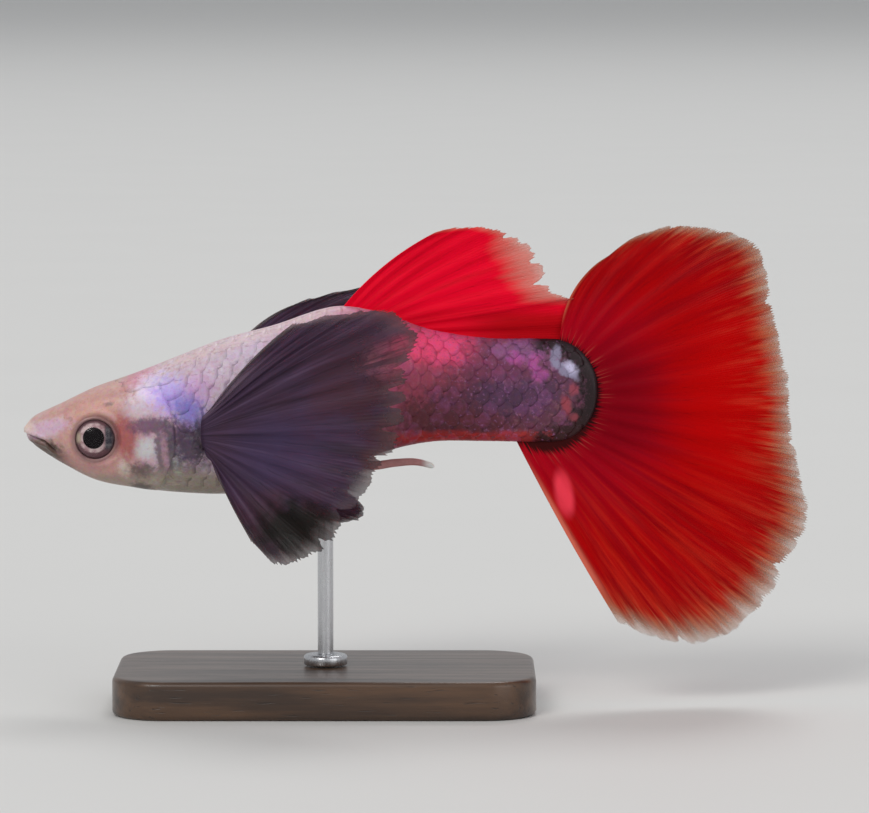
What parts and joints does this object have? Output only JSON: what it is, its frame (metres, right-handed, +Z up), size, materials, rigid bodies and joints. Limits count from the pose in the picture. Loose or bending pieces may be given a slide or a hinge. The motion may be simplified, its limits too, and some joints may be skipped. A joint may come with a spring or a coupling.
{
  "type": "fancy guppy model on a display stand",
  "caption": "Still life-size male fancy guppy with a red fan tail, red dorsal fin and large dark ear-like pectoral fins, held over a flat base by a slim rod.",
  "frame": {"origin": "middle of the whole model's footprint, on the floor under the base", "axes": "+X towards the tail fin, +Z up, and the fish's left side faces -Y"},
  "size_m": [0.045, 0.0168, 0.0276],
  "materials": {
    "skin": "moist fish skin with fine scales and a pearly sheen",
    "eye": "clear wet cornea over a pinkish iris and a black pupil",
    "red_fin": "thin red membrane with fine rays and a clear frayed margin",
    "dark_fin": "thin dark violet membrane with fine rays",
    "stand_wood": "dark stained close-grained wood, satin",
    "stand_steel": "brushed steel"
  },
  "bodies": {
    "root": {"head": "skin", "lower_jaw": "skin", "trunk": "skin", "tail_stem": "skin", "gonopodium": "skin", "eye_left": "eye", "eye_right": "eye", "dorsal_fin": "red_fin", "caudal_fin": "red_fin", "pectoral_fin_left": "dark_fin", "pectoral_fin_right": "dark_fin", "pelvic_fin_left": "dark_fin", "pelvic_fin_right": "dark_fin", "stand_base": "stand_wood", "stand_collar": "stand_steel", "stand_rod": "stand_steel", "stand_cup": "stand_steel"}
  },
  "joints": []
}
